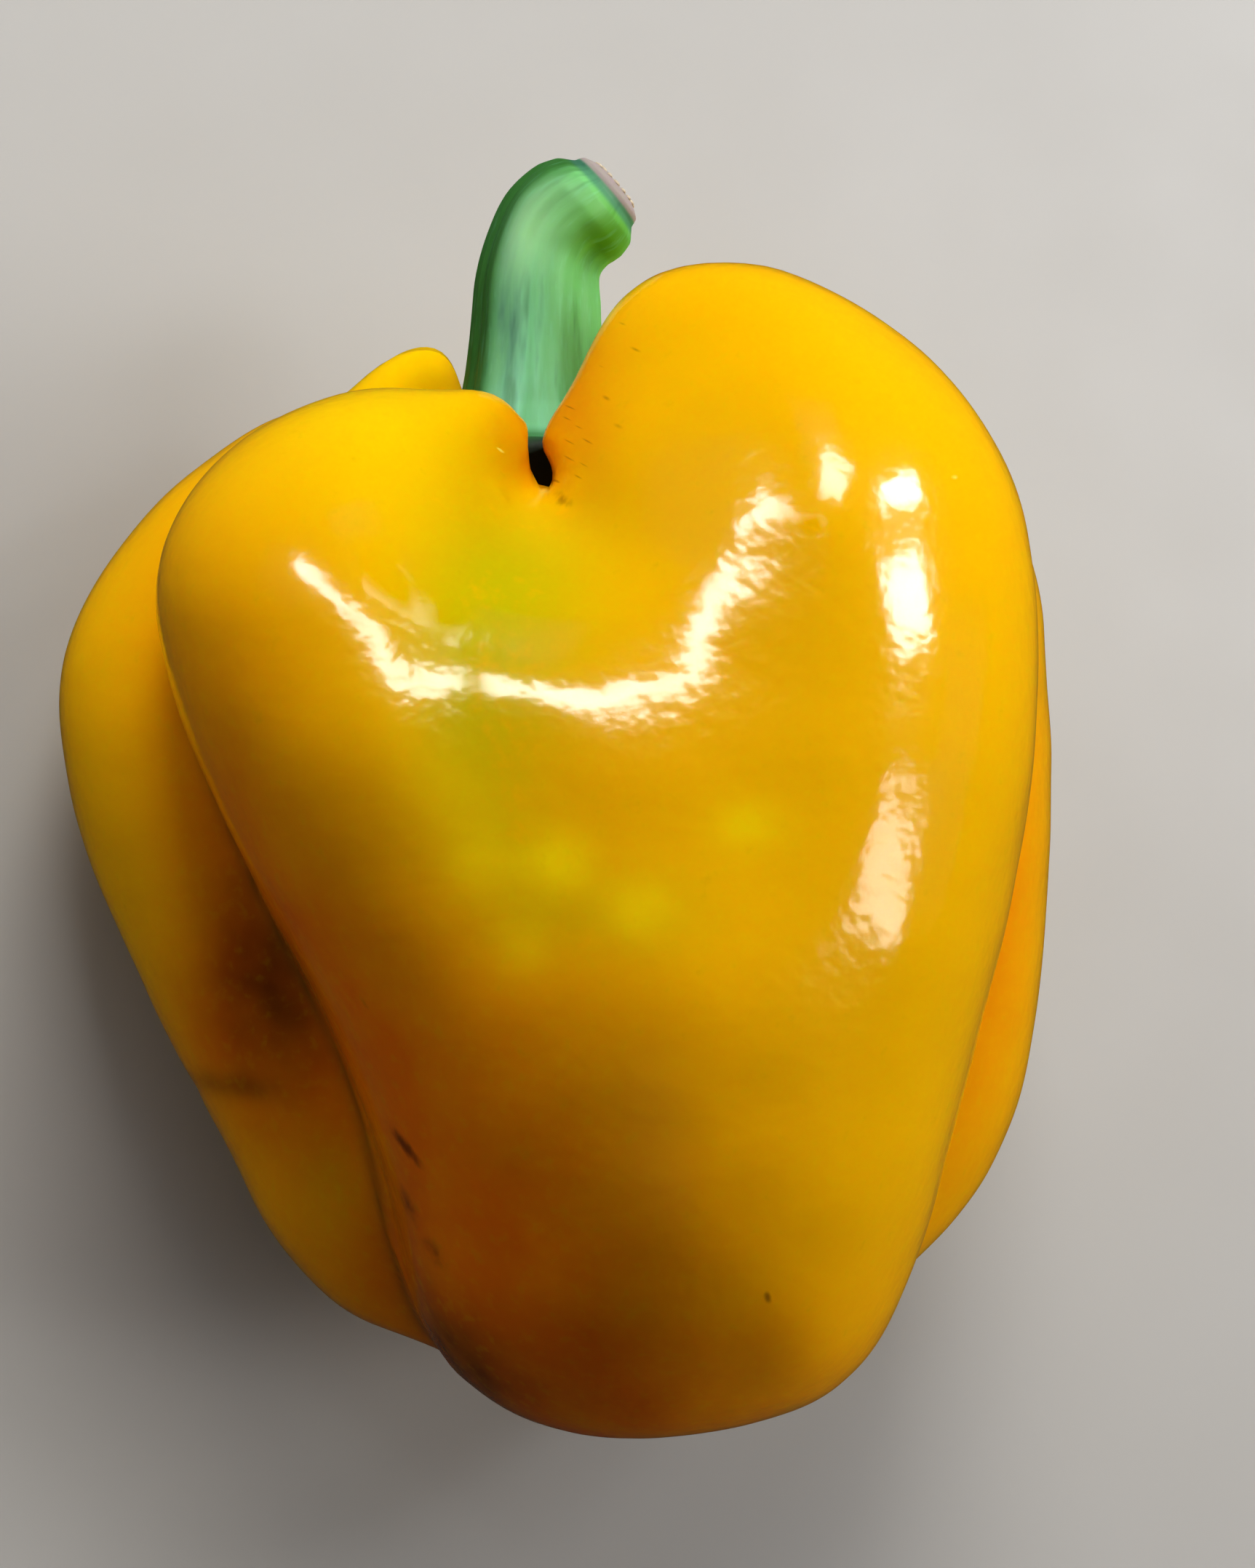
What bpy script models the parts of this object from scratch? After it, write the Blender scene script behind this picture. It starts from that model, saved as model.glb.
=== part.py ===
# A yellow bell pepper lying on its side, as picked, with its cut green stem.
# Two pieces: the fruit, one grown body, and the stem with the calyx that it flares into.
# The forms are given in the growth frame, in millimetres: z runs from the blossom end to the stem,
# x to the right and y away from the reader, who looks at the two front lobes.
# At the end the pepper is laid down on its two back lobes, in metres, with +Z up and the stem towards +Y.

from math import cos, pi, radians, sin

import bmesh
import bpy
import numpy as np

MM = 0.001

# Heights at which each lobe's middle line and thickness are given
LEVELS = (38.0, 13.0, -12.0, -36.0)

# Each lobe is a long rounded bag. top and foot are its ends, crown and toe the heights of its rounded caps,
# squareness 2 is an ellipse, and line holds (x, y, half width, half depth) at the four levels.
LOBES = {
    "front_left": dict(
        top=36.8, crown=19.0, foot=-39.0, toe=20.0, squareness=2.1,
        line=((-11.4, -13.0, 14.6, 14.0), (-13.2, -16.0, 15.0, 18.0),
              (-2.0, -13.0, 14.2, 19.0), (5.0, -8.0, 11.5, 14.0))),
    "front_right": dict(
        top=45.7, crown=21.0, foot=-40.0, toe=16.0, squareness=2.2,
        line=((16.6, -13.0, 17.2, 16.0), (18.8, -15.0, 18.8, 19.0),
              (15.8, -13.0, 17.6, 20.0), (10.5, -8.0, 15.5, 16.0))),
    "front_middle": dict(
        top=27.5, crown=24.0, foot=-43.8, toe=14.0, squareness=2.5,
        line=((0.0, -9.0, 11.0, 15.0), (2.5, -13.0, 15.5, 20.0),
              (6.5, -13.0, 18.5, 21.5), (8.1, -8.0, 17.7, 18.5))),
    "back_right": dict(
        top=42.5, crown=24.0, foot=-40.0, toe=24.0, squareness=2.3,
        line=((15.0, 12.0, 24.0, 18.0), (17.3, 13.5, 24.0, 22.0),
              (17.3, 12.5, 23.0, 20.0), (13.0, 8.0, 20.0, 15.0))),
    "back_left": dict(
        top=42.3, crown=31.0, foot=-41.0, toe=14.0, squareness=2.0,
        line=((-12.8, 7.5, 14.6, 13.5), (-18.5, 6.0, 21.6, 16.5),
              (-14.3, 6.0, 17.8, 16.5), (-6.5, 5.0, 14.2, 13.0))),
}
FRONT_LOBES = ("front_left", "front_right", "front_middle")
BACK_LOBES = ("back_right", "back_left")
GROOVE_ROUNDING = 1.3        # how softly the grooves between front and back are rounded
CLEFT_TOP = 33.0             # the front lobes part above this height and melt together below it
CLEFT_LENGTH = 16.0
CLEFT_ROUNDING = (0.8, 3.0)  # rounding where they part, and where they have melted together

# The bowl that the stem sits in, and the dimple at the blossom end: middle and radii
STEM_BOWL = ((-0.9, -0.8, 39.0), (10.4, 9.6, 11.0))
BLOSSOM_DIMPLE = ((8.0, -1.0, -49.0), (9.0, 8.0, 7.5))
BOWL_ROUNDING = 2.2

# The fruit's faces: a ball of this many sides and rings is grown out to the skin
FRUIT_SIDES = 80
FRUIT_RINGS = 52
SEED_RADIUS = 15.0
SEED_HALF_HEIGHT = 18.0
SEED_MIDDLE_X = 4.0
SEED_LEAN = -0.17            # the seed ball leans left as it rises, as the fruit does
STRIDE = 1.0
REACH = 45.0
EVENING_ROUNDS = 16

# The stem: a straight run from the bowl's floor, a bend to the right and a short straight end
STEM_SIDES = 36
STEM_RINGS = 44
STEM_FOOT = (-1.6, 0.0, 28.0)
STEM_LEAN = (0.035, 0.01)
STEM_STRAIGHT = 17.2
BEND_RADIUS = 9.0
BEND_ANGLE = radians(47.0)
RIDGES = 6
RIDGE_DEPTH = 0.045
RIDGE_TURN = radians(70.0)   # where the first ridge stands, counted from +x towards the reader
CALYX_CLEARANCE = 0.5
CALYX_EDGE = radians(54.0)   # how far up the bowl's wall the calyx reaches
CALYX_WAVE = radians(4.0)

# Stem profile: distance along the middle line, radius, and share of the calyx edge in that radius
STEM_PROFILE = (
    (5.5, 6.2, 0.96), (5.9, 6.2, 0.55), (6.8, 6.2, 0.12), (8.5, 5.7, 0.0), (11.0, 5.3, 0.0),
    (14.0, 5.05, 0.0), (17.7, 4.85, 0.0), (21.0, 4.65, 0.0), (23.4, 5.0, 0.0), (25.3, 5.3, 0.0),
    (26.5, 4.8, 0.0), (27.0, 3.9, 0.0), (27.5, 3.6, 0.0), (28.3, 3.2, 0.0), (28.8, 2.0, 0.0), (28.8, 0.0, 0.0))
CALYX_SHARE = 0.27           # the part of the rings that lies under the calyx
KNOB_TOP = 23.0              # past this the ridges fade out

# At rest: the direction that points up, and the point that lies at the origin. The skin of the two back lobes
# reaches 0.4 mm past it, and is pressed flat there.
UP_AT_REST = (0.322, -0.938, 0.132)
ORIGIN_AT_REST = (-5.4, 28.23, 1.46)

COLLECTION = "bell_pepper"


def clear_scene():
    for thing in list(bpy.data.objects):
        bpy.data.objects.remove(thing, do_unlink=True)


def between_levels(height, values):
    """Smooth cubic curve through one value at each of the four levels."""
    total = 0.0
    for value, level in zip(values, LEVELS):
        share = 1.0
        for other in LEVELS:
            if other != level:
                share = share * (height - other) / (level - other)
        total = total + value * share
    return total


def lobe_gap(points, lobe):
    """How far outside one lobe each point lies, roughly, in mm (negative inside)."""
    x, y, z = points[:, 0], points[:, 1], points[:, 2]
    height = np.clip(z, lobe["foot"], lobe["top"])
    middle_x, middle_y, half_width, half_depth = (between_levels(height, v) for v in zip(*lobe["line"]))
    round_way = np.sqrt(((x - middle_x) / half_width) ** 2 + ((y - middle_y) / half_depth) ** 2)
    into_crown = np.maximum(0.0, (z - lobe["top"]) / lobe["crown"] + 1.0)
    into_toe = np.maximum(0.0, (lobe["foot"] - z) / lobe["toe"] + 1.0)
    power = lobe["squareness"]
    size = (round_way ** power + into_crown ** power + into_toe ** power) ** (1.0 / power)
    return (size - 1.0) * np.sqrt(half_width * half_depth)


def merged(gaps, rounding):
    """Smooth union: the nearest surface, with the grooves between surfaces rounded."""
    gaps = np.stack(gaps)
    nearest = gaps.min(axis=0)
    return nearest - rounding * np.log(np.exp((nearest - gaps) / rounding).sum(axis=0))


def hollow_gap(points, middle, radii):
    """How far inside a hollow each point lies, roughly, in mm."""
    away = (points - np.array(middle)) / np.array(radii)
    return (1.0 - np.sqrt((away ** 2).sum(axis=1))) * min(radii)


def skin_gap(points):
    """How far outside the whole fruit each point lies, roughly, in mm."""
    melt = np.clip((CLEFT_TOP - points[:, 2]) / CLEFT_LENGTH, 0.0, 1.0)
    melt = melt * melt * (3.0 - 2.0 * melt)
    rounding = CLEFT_ROUNDING[0] + (CLEFT_ROUNDING[1] - CLEFT_ROUNDING[0]) * melt
    front = merged([lobe_gap(points, LOBES[name]) for name in FRONT_LOBES], rounding)
    back = [lobe_gap(points, LOBES[name]) for name in BACK_LOBES]
    flesh = merged([front] + back, GROOVE_ROUNDING)
    for middle, radii in (STEM_BOWL, BLOSSOM_DIMPLE):
        flesh = -merged([-flesh, -hollow_gap(points, middle, radii)], BOWL_ROUNDING)
    return flesh


def first_skin(start, way):
    """Walk out from inside the fruit along each way to the first place where the skin is crossed."""
    near = np.zeros(len(start))
    far = np.full(len(start), REACH)
    done = np.zeros(len(start), dtype=bool)
    for step in range(int(REACH / STRIDE)):
        outside = skin_gap(start + way * (step + 1) * STRIDE) > 0.0
        fresh = outside & ~done
        near[fresh] = step * STRIDE
        far[fresh] = (step + 1) * STRIDE
        done |= outside
    for _ in range(14):
        middle = 0.5 * (near + far)
        inside = skin_gap(start + way * middle[:, None]) < 0.0
        near = np.where(inside, middle, near)
        far = np.where(inside, far, middle)
    return start + way * middle[:, None]


def onto_skin(points):
    """One step of each point straight towards the skin."""
    reach = 0.02
    slope = np.stack([(skin_gap(points + reach * axis) - skin_gap(points - reach * axis)) / (2.0 * reach)
                      for axis in np.eye(3)], axis=1)
    steepness = np.maximum((slope ** 2).sum(axis=1), 0.05)
    return points - (0.9 * skin_gap(points) / steepness)[:, None] * slope


def fruit_points(ball, edges):
    """Move the vertices of a unit ball out to the skin, then space them evenly along it."""
    height = SEED_HALF_HEIGHT * ball[:, 2]
    start = np.stack([SEED_RADIUS * ball[:, 0] + SEED_MIDDLE_X + SEED_LEAN * height,
                      SEED_RADIUS * ball[:, 1], height], axis=1)
    way = np.stack([SEED_HALF_HEIGHT * ball[:, 0] + SEED_LEAN * SEED_RADIUS * ball[:, 2],
                    SEED_HALF_HEIGHT * ball[:, 1], SEED_RADIUS * ball[:, 2]], axis=1)
    way /= np.linalg.norm(way, axis=1, keepdims=True)
    points = first_skin(start, way)
    neighbours = np.bincount(edges.ravel(), minlength=len(points))[:, None]
    for _ in range(EVENING_ROUNDS):
        total = np.zeros_like(points)
        np.add.at(total, edges[:, 0], points[edges[:, 1]])
        np.add.at(total, edges[:, 1], points[edges[:, 0]])
        points = onto_skin(0.4 * points + 0.6 * total / neighbours)
    for _ in range(3):
        points = onto_skin(points)
    return points


def stem_line(distance):
    """Point and heading of the stem's middle line, this far from its foot."""
    heading = np.array([STEM_LEAN[0], STEM_LEAN[1], 1.0])
    heading /= np.linalg.norm(heading)
    right = np.array([1.0, 0.0, 0.0]) - heading[0] * heading
    right /= np.linalg.norm(right)
    bent = np.clip((distance - STEM_STRAIGHT) / BEND_RADIUS, 0.0, BEND_ANGLE)
    past = max(0.0, distance - STEM_STRAIGHT - BEND_RADIUS * BEND_ANGLE)
    point = np.array(STEM_FOOT) + heading * min(distance, STEM_STRAIGHT)
    point = point + BEND_RADIUS * (sin(bent) * heading + (1.0 - cos(bent)) * right)
    way = cos(bent) * heading + sin(bent) * right
    return point + past * way, way


def bowl_point(climb, turn, inset):
    """Point on the wall of the stem's bowl, moved in from it, at an angle up the wall."""
    middle, radii = STEM_BOWL
    return np.array([middle[0] + (radii[0] - inset) * sin(climb) * cos(turn),
                     middle[1] - (radii[1] - inset) * sin(climb) * sin(turn),
                     middle[2] - (radii[2] - inset) * cos(climb)])


def stem_ring_point(share, turn):
    """Point of the stem's surface. share runs from the calyx's underside to the middle of the cut end."""
    climb = CALYX_EDGE + CALYX_WAVE * cos(RIDGES * (turn - RIDGE_TURN))
    if share < CALYX_SHARE:
        return bowl_point(climb * share / CALYX_SHARE, turn, CALYX_CLEARANCE)
    place = (share - CALYX_SHARE) / (1.0 - CALYX_SHARE) * (len(STEM_PROFILE) - 1)
    distance, radius, calyx = (np.interp(place, range(len(STEM_PROFILE)), v) for v in zip(*STEM_PROFILE))
    point, way = stem_line(distance)
    side = np.array([1.0, 0.0, 0.0]) - way[0] * way
    side /= np.linalg.norm(side)
    front = np.cross(side, way)
    edge = bowl_point(climb, turn, CALYX_CLEARANCE) - np.array(STEM_BOWL[0])
    fade = np.clip((KNOB_TOP + 4.0 - distance) / 4.0, 0.0, 1.0)
    ridge = 1.0 + RIDGE_DEPTH * fade * cos(RIDGES * (turn - RIDGE_TURN))
    radius = (1.0 - calyx) * radius * ridge + calyx * np.hypot(edge[0], edge[1])
    return point + radius * (cos(turn) * side + sin(turn) * front)


def stem_points(ball):
    """Turn the vertices of a unit ball into the stem and calyx, ring by ring from the lower pole."""
    shares = np.arccos(np.clip(-ball[:, 2], -1.0, 1.0)) / pi
    turns = np.arctan2(-ball[:, 1], ball[:, 0])
    return np.array([stem_ring_point(share, turn) for share, turn in zip(shares, turns)])


def resting_axes():
    """Rows: the lying pepper's +X, +Y and +Z, written in the growth frame."""
    up = np.array(UP_AT_REST) / np.linalg.norm(UP_AT_REST)
    along = np.array([0.0, 0.0, 1.0]) - up[2] * up
    along /= np.linalg.norm(along)
    return np.stack([np.cross(along, up), along, up])


def laid_down(points):
    """Growth frame to the lying pepper's own frame, with the skin pressed flat where it touches the surface."""
    points = (points - np.array(ORIGIN_AT_REST)) @ resting_axes().T
    points[:, 2] = np.maximum(points[:, 2], 0.0)
    return points * MM


def principled(name, colour, roughness):
    material = bpy.data.materials.new(name)
    material.use_nodes = True
    shader = material.node_tree.nodes["Principled BSDF"]
    shader.inputs["Base Color"].default_value = (*colour, 1.0)
    shader.inputs["Roughness"].default_value = roughness
    shader.inputs["Metallic"].default_value = 0.0
    return material


def grown_object(name, sides, rings, shape, material, collection):
    """One named object: a ball primitive whose vertices the shape function moves into place."""
    ball = bmesh.new()
    bmesh.ops.create_uvsphere(ball, u_segments=sides, v_segments=rings, radius=1.0)
    mesh = bpy.data.meshes.new(name)
    ball.to_mesh(mesh)
    ball.free()
    places = np.empty(len(mesh.vertices) * 3)
    mesh.vertices.foreach_get("co", places)
    edges = np.empty(len(mesh.edges) * 2, dtype=np.int32)
    mesh.edges.foreach_get("vertices", edges)
    points = laid_down(shape(places.reshape(-1, 3), edges.reshape(-1, 2)))
    mesh.vertices.foreach_set("co", points.ravel())
    mesh.update()
    mesh.shade_smooth()
    mesh.materials.append(material)
    thing = bpy.data.objects.new(name, mesh)
    collection.objects.link(thing)
    print(name, "lowest", points.min(axis=0).round(5), "highest", points.max(axis=0).round(5))
    return thing


def build():
    clear_scene()
    collection = bpy.data.collections.new(COLLECTION)
    bpy.context.scene.collection.children.link(collection)
    skin = principled("pepper_skin", (0.86, 0.42, 0.006), 0.22)
    green = principled("stem_green", (0.11, 0.30, 0.10), 0.5)
    grown_object("fruit_body", FRUIT_SIDES, FRUIT_RINGS, fruit_points, skin, collection)
    grown_object("stem_and_calyx", STEM_SIDES, STEM_RINGS, lambda ball, edges: stem_points(ball), green, collection)


build()
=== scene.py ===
# %% [markdown]
# # A yellow bell pepper on a pale table
# This lesson dresses a measured model of a bell pepper. The model gives the size, the place and the
# resting pose. Here the fruit gets a finer skin, the stem gets its ridges and its cut end, and both get
# materials made only of nodes. Everything is in metres, with +Z up and the stem pointing towards +Y.

# %% Load the measured model
from math import cos, pi, radians, sin

import bmesh
import bpy
import numpy as np
from mathutils import Matrix, Vector


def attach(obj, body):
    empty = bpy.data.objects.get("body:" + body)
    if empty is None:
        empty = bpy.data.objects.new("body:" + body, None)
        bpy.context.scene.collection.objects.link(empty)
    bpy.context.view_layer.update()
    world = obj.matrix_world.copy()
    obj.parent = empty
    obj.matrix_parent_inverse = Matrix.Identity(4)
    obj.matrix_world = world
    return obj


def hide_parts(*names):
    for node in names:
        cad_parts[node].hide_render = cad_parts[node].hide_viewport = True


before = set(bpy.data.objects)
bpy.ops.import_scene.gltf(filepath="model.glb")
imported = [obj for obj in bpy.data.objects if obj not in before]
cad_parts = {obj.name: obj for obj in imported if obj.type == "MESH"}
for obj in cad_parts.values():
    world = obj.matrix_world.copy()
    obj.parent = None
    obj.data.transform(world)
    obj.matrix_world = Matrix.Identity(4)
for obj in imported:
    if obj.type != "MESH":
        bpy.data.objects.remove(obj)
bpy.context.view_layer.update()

MM = 0.001
print("nodes:", sorted(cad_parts))

# %% [markdown]
# ## The growth frame
# A pepper is easiest to describe the way it grows: z from the blossom end to the stem, x to the right and
# y away from someone who faces its two front lobes, all in millimetres. One turn and one shift lay it
# down on its two back lobes. A quaternion would do as well, but three rows are easier to read: they are
# the lying pepper's own axes, written in the growth frame.

# %% From the growth frame to the table
UP_AT_REST = (0.322, -0.938, 0.132)
ORIGIN_AT_REST = (-5.4, 28.23, 1.46)


def resting_axes():
    up = np.array(UP_AT_REST) / np.linalg.norm(UP_AT_REST)
    along = np.array([0.0, 0.0, 1.0]) - up[2] * up
    along /= np.linalg.norm(along)
    return np.stack([np.cross(along, up), along, up])


AXES = resting_axes()


def on_table(points):
    """Growth frame in millimetres to the table in metres."""
    return (np.asarray(points) - np.array(ORIGIN_AT_REST)) @ AXES.T * MM


print("the table's up in the growth frame:", AXES[2].round(3))

# %% [markdown]
# ## The lobes
# A bell pepper is a ring of swollen chambers. Each one is written as a long rounded bag whose middle line
# and thickness are given at four heights, with a smooth cubic curve between them. A cage modelled by
# hand could give the same outline, but bags that melt into each other also give the grooves between the
# chambers for free, and those are what makes a pepper look like a pepper.

# %% Five bags for four lobes
LEVELS = (38.0, 13.0, -12.0, -36.0)
LOBES = {
    "front_left": dict(
        top=36.8, crown=19.0, foot=-39.0, toe=20.0, squareness=2.1,
        line=((-11.4, -13.0, 14.6, 14.0), (-13.2, -16.0, 15.0, 18.0),
              (-2.0, -13.0, 14.2, 19.0), (5.0, -8.0, 11.5, 14.0))),
    "front_right": dict(
        top=45.7, crown=21.0, foot=-40.0, toe=16.0, squareness=2.2,
        line=((16.6, -13.0, 17.2, 16.0), (18.8, -15.0, 18.8, 19.0),
              (15.8, -13.0, 17.6, 20.0), (10.5, -8.0, 15.5, 16.0))),
    "front_middle": dict(
        top=27.5, crown=24.0, foot=-43.8, toe=14.0, squareness=2.5,
        line=((0.0, -9.0, 11.0, 15.0), (2.5, -13.0, 15.5, 20.0),
              (6.5, -13.0, 18.5, 21.5), (8.1, -8.0, 17.7, 18.5))),
    "back_right": dict(
        top=42.5, crown=24.0, foot=-40.0, toe=24.0, squareness=2.3,
        line=((15.0, 12.0, 24.0, 18.0), (17.3, 13.5, 24.0, 22.0),
              (17.3, 12.5, 23.0, 20.0), (13.0, 8.0, 20.0, 15.0))),
    "back_left": dict(
        top=42.3, crown=31.0, foot=-41.0, toe=14.0, squareness=2.0,
        line=((-12.8, 7.5, 14.6, 13.5), (-18.5, 6.0, 21.6, 16.5),
              (-14.3, 6.0, 17.8, 16.5), (-6.5, 5.0, 14.2, 13.0))),
}
FRONT_LOBES = ("front_left", "front_right", "front_middle")
BACK_LOBES = ("back_right", "back_left")


def between_levels(height, values):
    """Smooth cubic curve through one value at each of the four levels."""
    total = 0.0
    for value, level in zip(values, LEVELS):
        share = 1.0
        for other in LEVELS:
            if other != level:
                share = share * (height - other) / (level - other)
        total = total + value * share
    return total


def lobe_gap(points, lobe):
    """How far outside one lobe each point lies, roughly, in mm (negative inside)."""
    x, y, z = points[:, 0], points[:, 1], points[:, 2]
    height = np.clip(z, lobe["foot"], lobe["top"])
    middle_x, middle_y, half_width, half_depth = (between_levels(height, v) for v in zip(*lobe["line"]))
    round_way = np.sqrt(((x - middle_x) / half_width) ** 2 + ((y - middle_y) / half_depth) ** 2)
    into_crown = np.maximum(0.0, (z - lobe["top"]) / lobe["crown"] + 1.0)
    into_toe = np.maximum(0.0, (lobe["foot"] - z) / lobe["toe"] + 1.0)
    power = lobe["squareness"]
    size = (round_way ** power + into_crown ** power + into_toe ** power) ** (1.0 / power)
    return (size - 1.0) * np.sqrt(half_width * half_depth)


print("lobes:", ", ".join(LOBES))

# %% [markdown]
# ## One skin over all of them
# A smooth union keeps the nearest bag's surface and rounds the groove where two bags meet. The rounding is
# tight where the front lobes part at the stem, and wide below, where they melt into one broad face. Two
# hollows are taken away again: the bowl round the stem and the dimple at the blossom end.

# %% Merge the lobes
GROOVE_ROUNDING = 1.3
CLEFT_TOP = 33.0
CLEFT_LENGTH = 16.0
CLEFT_ROUNDING = (0.8, 3.0)
STEM_BOWL = ((-0.9, -0.8, 39.0), (10.4, 9.6, 11.0))
BLOSSOM_DIMPLE = ((8.0, -1.0, -49.0), (9.0, 8.0, 7.5))
BOWL_ROUNDING = 2.2


def eased(share):
    share = np.clip(share, 0.0, 1.0)
    return share * share * (3.0 - 2.0 * share)


def plateau(values, start, whole, still, end):
    """0 up to start, 1 from whole to still, 0 again from end, eased between them."""
    return eased((values - start) / (whole - start)) * eased((end - values) / (end - still))


def merged(gaps, rounding):
    gaps = np.stack(gaps)
    nearest = gaps.min(axis=0)
    return nearest - rounding * np.log(np.exp((nearest - gaps) / rounding).sum(axis=0))


def hollow_gap(points, middle, radii):
    away = (points - np.array(middle)) / np.array(radii)
    return (1.0 - np.sqrt((away ** 2).sum(axis=1))) * min(radii)


def front_and_back(points):
    """The gap to the front lobes and to the nearer back lobe."""
    melt = eased((CLEFT_TOP - points[:, 2]) / CLEFT_LENGTH)
    rounding = CLEFT_ROUNDING[0] + (CLEFT_ROUNDING[1] - CLEFT_ROUNDING[0]) * melt
    front = merged([lobe_gap(points, LOBES[name]) for name in FRONT_LOBES], rounding)
    return front, [lobe_gap(points, LOBES[name]) for name in BACK_LOBES]


def skin_gap(points):
    front, back = front_and_back(points)
    flesh = merged([front] + back, GROOVE_ROUNDING)
    for middle, radii in (STEM_BOWL, BLOSSOM_DIMPLE):
        flesh = -merged([-flesh, -hollow_gap(points, middle, radii)], BOWL_ROUNDING)
    return flesh


print("hollows:", STEM_BOWL[0], BLOSSOM_DIMPLE[0])

# %% [markdown]
# ## Growing a ball out to the skin
# The skin is only a formula so far. To get faces, a small ball inside the fruit is grown outwards: each
# vertex walks out until it crosses the skin. Then the vertices are spread evenly, in the way that a soap
# film evens itself, and pulled back onto the skin after each round. Metaballs or a voxel remesh would
# also give a surface, but they lose the crisp grooves and cost far more faces.

# %% Helpers that find the skin
SEED_RADIUS = 15.0
SEED_HALF_HEIGHT = 18.0
SEED_MIDDLE_X = 4.0
SEED_LEAN = -0.17
STRIDE = 1.5
REACH = 45.0
HALVINGS = 10
SLOPE_REACH = 0.02
STEP_SHARE = 0.9
LEAST_STEEPNESS = 0.05


def first_skin(start, way):
    near = np.zeros(len(start))
    far = np.full(len(start), REACH)
    done = np.zeros(len(start), dtype=bool)
    for step in range(int(REACH / STRIDE)):
        outside = skin_gap(start + way * (step + 1) * STRIDE) > 0.0
        fresh = outside & ~done
        near[fresh] = step * STRIDE
        far[fresh] = (step + 1) * STRIDE
        done |= outside
    for _ in range(HALVINGS):
        middle = 0.5 * (near + far)
        inside = skin_gap(start + way * middle[:, None]) < 0.0
        near = np.where(inside, middle, near)
        far = np.where(inside, far, middle)
    return start + way * middle[:, None]


def skin_slope(points):
    return np.stack([(skin_gap(points + axis) - skin_gap(points - axis)) / (2.0 * SLOPE_REACH)
                     for axis in SLOPE_REACH * np.eye(3)], axis=1)


def onto_skin(points, raised=0.0):
    """One step of each point straight towards the skin, or to a height above it."""
    slope = skin_slope(points)
    steepness = np.maximum((slope ** 2).sum(axis=1), LEAST_STEEPNESS)
    return points - (STEP_SHARE * (skin_gap(points) - raised) / steepness)[:, None] * slope


print("the skin is looked for up to", REACH, "mm from the seed ball")

# %% Grow the skin
SKIN_SIDES = 150
SKIN_RINGS = 100
EVENING_ROUNDS = 14
EVENING_SHARE = 0.6


def mesh_arrays(mesh):
    places = np.empty(len(mesh.vertices) * 3)
    mesh.vertices.foreach_get("co", places)
    edges = np.empty(len(mesh.edges) * 2, dtype=np.int32)
    mesh.edges.foreach_get("vertices", edges)
    return places.reshape(-1, 3), edges.reshape(-1, 2)


def ball_mesh(name, sides, rings):
    ball = bmesh.new()
    bmesh.ops.create_uvsphere(ball, u_segments=sides, v_segments=rings, radius=1.0)
    mesh = bpy.data.meshes.new(name)
    ball.to_mesh(mesh)
    ball.free()
    return mesh


def grow_skin(mesh):
    ball, edges = mesh_arrays(mesh)
    height = SEED_HALF_HEIGHT * ball[:, 2]
    start = np.stack([SEED_RADIUS * ball[:, 0] + SEED_MIDDLE_X + SEED_LEAN * height,
                      SEED_RADIUS * ball[:, 1], height], axis=1)
    way = np.stack([SEED_HALF_HEIGHT * ball[:, 0] + SEED_LEAN * SEED_RADIUS * ball[:, 2],
                    SEED_HALF_HEIGHT * ball[:, 1], SEED_RADIUS * ball[:, 2]], axis=1)
    way /= np.linalg.norm(way, axis=1, keepdims=True)
    points = first_skin(start, way)
    neighbours = np.bincount(edges.ravel(), minlength=len(points))[:, None]
    for _ in range(EVENING_ROUNDS):
        total = np.zeros_like(points)
        np.add.at(total, edges[:, 0], points[edges[:, 1]])
        np.add.at(total, edges[:, 1], points[edges[:, 0]])
        points = onto_skin((1.0 - EVENING_SHARE) * points + EVENING_SHARE * total / neighbours)
    mesh.vertices.foreach_set("co", points.ravel())
    mesh.update()


def plain_copy(thing):
    """The object's evaluated mesh, with its modifiers taken off."""
    mesh = bpy.data.meshes.new_from_object(thing.evaluated_get(bpy.context.evaluated_depsgraph_get()))
    thing.modifiers.clear()
    thing.data = mesh
    return mesh


def new_object(name, mesh):
    thing = bpy.data.objects.new(name, mesh)
    bpy.context.scene.collection.objects.link(thing)
    return thing


skin_mesh = ball_mesh("fruit_skin", SKIN_SIDES, SKIN_RINGS)
grow_skin(skin_mesh)
fruit = new_object("fruit_skin", skin_mesh)
finer = fruit.modifiers.new("finer", "SUBSURF")
finer.levels = 1
finer.render_levels = 1
skin_mesh = plain_copy(fruit)
print("skin faces:", len(skin_mesh.polygons))

# %% [markdown]
# ## Small forms of the skin
# Real skin is not a perfect formula. Broad swells push a lobe out or let it sink by a millimetre or two. A
# thin fold runs down the left groove, the skin puckers where the cleft closes, and the blossom end carries
# a corky scar. Each is a height above the skin: a soft mound, or a soft ridge along a short line. They
# could be painted as bump, but real geometry also bends the outline and the highlights.

# %% Swells, folds, puckers and the scar
# Each fold or pucker: points of its line, half width, height
FOLDS = (
    (((-13.2, -9.0, -22.0), (-11.0, -10.0, -29.0), (-6.0, -10.0, -38.0)), 1.3, 0.8),
    (((-8.5, 5.0, 41.0), (-12.0, 2.0, 38.5), (-17.0, 0.5, 37.0)), 1.1, 0.35),
    (((-28.0, 5.0, -17.5), (-22.5, -6.0, -18.5)), 1.3, -0.4),
    (((-3.6, -22.0, 28.2), (-1.2, -24.0, 26.4)), 0.55, 0.22),
    (((2.2, -23.0, 28.4), (0.3, -25.0, 26.2)), 0.5, 0.2),
    (((-5.0, -23.0, 30.0), (-2.6, -26.0, 25.6)), 0.7, -0.16),
)
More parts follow.
